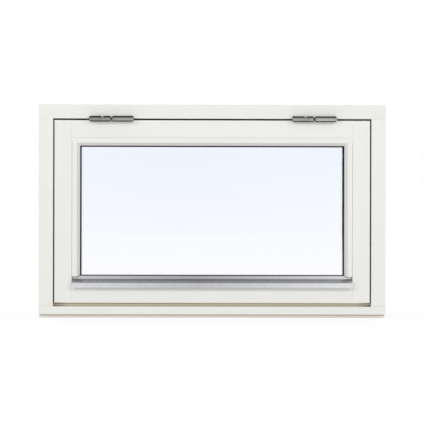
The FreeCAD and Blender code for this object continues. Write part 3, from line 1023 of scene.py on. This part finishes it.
@dataclass
class Handle:
    """The lever on the room side, with the two screws that hold its base.

    The dome of a screw is given as shares of its radius and of its rise. The recess turns are the
    angles, from the axis of an arm, of the points between the corner of the arm and the next arm.
    """

    base: str = "handle_base"
    lever: str = "handle_lever"
    screws: tuple[Screw, ...] = (Screw("left", -1, 12.0), Screw("right", 1, 57.0))
    screw_slot: str = "handle_metal"
    screw_offset: float = 0.0215
    screw_radius: float = 0.0036
    screw_rise: float = 0.0013
    screw_root: float = 0.0003
    dome: tuple[Limits, ...] = ((1.0, 0.25), (0.93, 0.6), (0.8, 0.88), (0.72, 0.96))
    recess_reach: float = 0.0021
    recess_half: float = 0.0005
    recess_depth: float = 0.0011
    recess_taper: float = 0.84
    recess_turns: tuple[float, ...] = (0.42, 0.6)

    def dress(self) -> None:
        """Gives the handle its satin metal and sets the screws."""
        satin = MetalFinish(
            "handle_satin",
            Run.ALONG_X,
            colour=srgb(205, 205, 206),
            dull=srgb(194, 194, 196),
            roughness=0.32,
            spread=0.04,
            patch_scale=45.0,
            line_height=0.00001,
        ).material()
        for node in (self.base, self.lever):
            dress(node, satin)
        self.set_screws()

    def set_screws(self) -> None:
        """Sets a screw at each end of the base."""
        steel = MetalFinish(
            "screw_steel", Run.EVEN, colour=srgb(188, 188, 186), dull=srgb(160, 160, 158), roughness=0.3
        ).material()
        low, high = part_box(self.base)
        for screw in self.screws:
            along = (low.x + high.x) / 2 + screw.side * self.screw_offset
            head = Vector((along, high.y, (low.z + high.z) / 2))
            shape = self.shape_screw(head, math.radians(screw.turn))
            place_piece(f"handle_screw_{screw.name}", shape, steel)

    def cross_radius(self, angle: float) -> float:
        """Distance from the middle of the recess to its outline.

        Args:
            angle: Direction in radians, measured from the axis of an arm.

        Returns:
            The distance along that direction.
        """
        off_axis = abs((angle + EIGHTH_TURN) % QUARTER_TURN - EIGHTH_TURN)
        if math.tan(off_axis) <= self.recess_half / self.recess_reach:
            return self.recess_reach / math.cos(off_axis)
        return self.recess_half / math.sin(off_axis)

    def shape_screw(self, head: Vector, turn: float) -> bmesh.types.BMesh:
        """Shapes a domed screw head with a cross recess as a stack of rings.

        Args:
            head: Middle of the head on the face of the base.
            turn: How far the recess is turned, in radians.

        Returns:
            The shape.
        """
        corner = math.atan2(self.recess_half, self.recess_reach)
        turns = (corner, *self.recess_turns)
        parts = (-EIGHTH_TURN, *(-part for part in reversed(turns)), 0.0, *turns)
        angles = [arm * QUARTER_TURN + part for arm in range(CROSS_ARMS) for part in parts]
        outlines = [([self.screw_radius] * len(angles), -self.screw_root)]
        for share, rise in self.dome:
            outlines.append(([share * self.screw_radius] * len(angles), rise * self.screw_rise))
        for share, depth in ((1.0, 0.0), (self.recess_taper, self.recess_depth)):
            reaches = [share * self.cross_radius(angle) for angle in angles]
            outlines.append((reaches, self.screw_rise - depth))
        shape = bmesh.new()
        rings = []
        for reaches, rise in outlines:
            ring = []
            for reach, angle in zip(reaches, angles):
                offset = Vector((reach * math.cos(angle + turn), rise, reach * math.sin(angle + turn)))
                ring.append(shape.verts.new(head + offset))
            rings.append(ring)
        stitch(shape, rings)
        shape.faces.new(rings[0])
        floor = rings[-1]
        middle = shape.verts.new(head + Vector((0.0, self.screw_rise - self.recess_depth, 0.0)))
        for i, point in enumerate(floor):
            shape.faces.new((point, middle, floor[(i + 1) % len(floor)]))
        bmesh.ops.recalc_face_normals(shape, faces=shape.faces)
        return shape


@dataclass(frozen=True)
class Lamp:
    """A flat soft lamp: its size, power and place."""

    size: tuple[float, float]
    power: float
    place: tuple[float, float, float]


def turned(degrees: float, axis: str) -> Matrix:
    """Gives a turn about one axis."""
    return Matrix.Rotation(math.radians(degrees), 4, axis)


@dataclass
class Studio:
    """Floor, soft light and the camera in front of the window."""

    camera_distance: float = 3.2
    camera_height: float = 0.2388
    camera_side: float = -0.00063
    camera_turn: float = 0.5
    camera_roll: float = 0.12
    view_width: float = 0.9535
    sensor: float = 36.0
    floor_size: float = 24.0
    floor_level: float = 0.75
    floor_shade: float = 0.94
    shade_reach: float = 0.3
    shade_limits: Limits = (0.3, 1.0)
    side_lamp: Lamp = Lamp((0.5, 0.5), 16.0, (1.87, -1.81, 1.4))
    front_lamp: Lamp = Lamp((2.4, 1.6), 33.0, (0.2, -3.9, 0.3))
    top_lamp: Lamp = Lamp((1.6, 1.6), 12.0, (0.0, 0.5, 2.8))
    fill_level: float = 0.46
    dark_middle: float = -0.015
    dark_half: float = 0.16
    dark_level: float = 0.5
    ceiling_limits: Limits = (0.25, 0.6)
    ceiling_level: float = 0.43

    def build(self) -> None:
        """Sets up everything that isn't the window."""
        self.place_camera()
        self.lay_floor()
        for end, ahead in (("outside", 1), ("room", -1)):
            self.hang_lamp(f"lamp_{end}_left", self.side_lamp, (-1, ahead))
            self.hang_lamp(f"lamp_{end}_right", self.side_lamp, (1, ahead))
            self.hang_lamp(f"lamp_{end}", self.front_lamp, (1, ahead))
        self.hang_lamp("lamp_top", self.top_lamp, (1, 1))
        self.light_world()
        bpy.context.scene.view_settings.view_transform = "Standard"

    def place_camera(self) -> None:
        """Aims the camera at the outside face, a trace from the left."""
        data = bpy.data.cameras.new("camera")
        data.sensor_width = self.sensor
        data.lens = self.sensor * self.camera_distance / self.view_width
        aim = Vector((self.camera_side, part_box("frame_head")[0].y, self.camera_height))
        toward = turned(-self.camera_turn, "Z")
        camera = link("camera", data)
        camera.matrix_world = (
            Matrix.Translation(aim + toward @ Vector((0.0, -self.camera_distance, 0.0)))
            @ toward
            @ turned(90.0, "X")
            @ turned(self.camera_roll, "Z")
        )
        bpy.context.scene.camera = camera

    def lay_floor(self) -> None:
        """Lays a white floor that shows as the background and keeps a soft shadow."""
        material, wires = blank_material("floor_white")
        path = wires.add("ShaderNodeLightPath").outputs
        looked_at = wires.math("MAXIMUM", path["Is Camera Ray"], path["Is Glossy Ray"])
        seen = wires.math("MAXIMUM", looked_at, path["Is Transmission Ray"])
        openness = wires.openness(self.shade_reach)
        level = wires.remap(openness, *self.shade_limits, self.floor_shade, 1.0)
        strength = wires.remap(seen, 0.0, 1.0, self.floor_level, level)
        glow = wires.add("ShaderNodeEmission", {"Color": WHITE, "Strength": strength})
        wires.add("ShaderNodeOutputMaterial", {"Surface": glow.outputs[0]})
        shape = bmesh.new()
        bmesh.ops.create_grid(shape, x_segments=1, y_segments=1, size=self.floor_size / 2)
        floor = link("floor", to_mesh("floor", shape, material))

    def hang_lamp(self, name: str, lamp: Lamp, sides: tuple[int, int]) -> None:
        """Hangs a soft lamp that faces the window and lights it without showing in it.

        Args:
            name: The lamp's name.
            lamp: Its size, power and place.
            sides: For X and for Y, 1 for the place as given or -1 for its mirror image.
        """
        data = bpy.data.lights.new(name, "AREA")
        data.shape = "RECTANGLE"
        data.size, data.size_y = lamp.size
        data.energy = lamp.power
        hung = link(name, data)
        x, y, z = lamp.place
        hung.location = (sides[0] * x, sides[1] * y, z)
        aim = Vector((0.0, 0.0, self.camera_height)) - hung.location
        hung.rotation_euler = aim.to_track_quat("-Z", "Y").to_euler()
        hung.visible_camera = False
        hung.visible_glossy = False
        hung.visible_transmission = False

    def light_world(self) -> None:
        """Lights the room evenly, white where it is looked at, and dimmer where metal mirrors it."""
        world = bpy.data.worlds.new("studio")
        bpy.context.scene.world = world
        world.use_nodes = True
        world.node_tree.nodes.clear()
        wires = Wires(world.node_tree)
        direction = wires.split(wires.add("ShaderNodeTexCoord").outputs["Generated"])
        path = wires.add("ShaderNodeLightPath").outputs
        seen = wires.math("MAXIMUM", path["Is Camera Ray"], path["Is Transmission Ray"])
        ceiling = wires.remap(direction["Z"], *self.ceiling_limits, 1.0, self.ceiling_level)
        aside = wires.math("ABSOLUTE", wires.math("SUBTRACT", direction["X"], self.dark_middle))
        room = wires.remap(aside, 0.0, self.dark_half, self.dark_level, 1.0)
        mirrored = wires.math("MINIMUM", room, ceiling)
        level = wires.remap(path["Is Glossy Ray"], 0.0, 1.0, self.fill_level, mirrored)
        strength = wires.remap(seen, 0.0, 1.0, level, ceiling)
        light = wires.add("ShaderNodeBackground", {"Color": WHITE, "Strength": strength})
        wires.add("ShaderNodeOutputWorld", {"Surface": light.outputs[0]})


def main() -> None:
    """Dresses the window and sets up the studio."""
    logging.basicConfig(level=logging.INFO, format="%(name)s: %(message)s")
    for assembly in (OuterFrame(), Sash(), Glazing(), Hinges(), Handle()):
        assembly.dress()
    Studio().build()


if __name__ == "__main__":
    main()
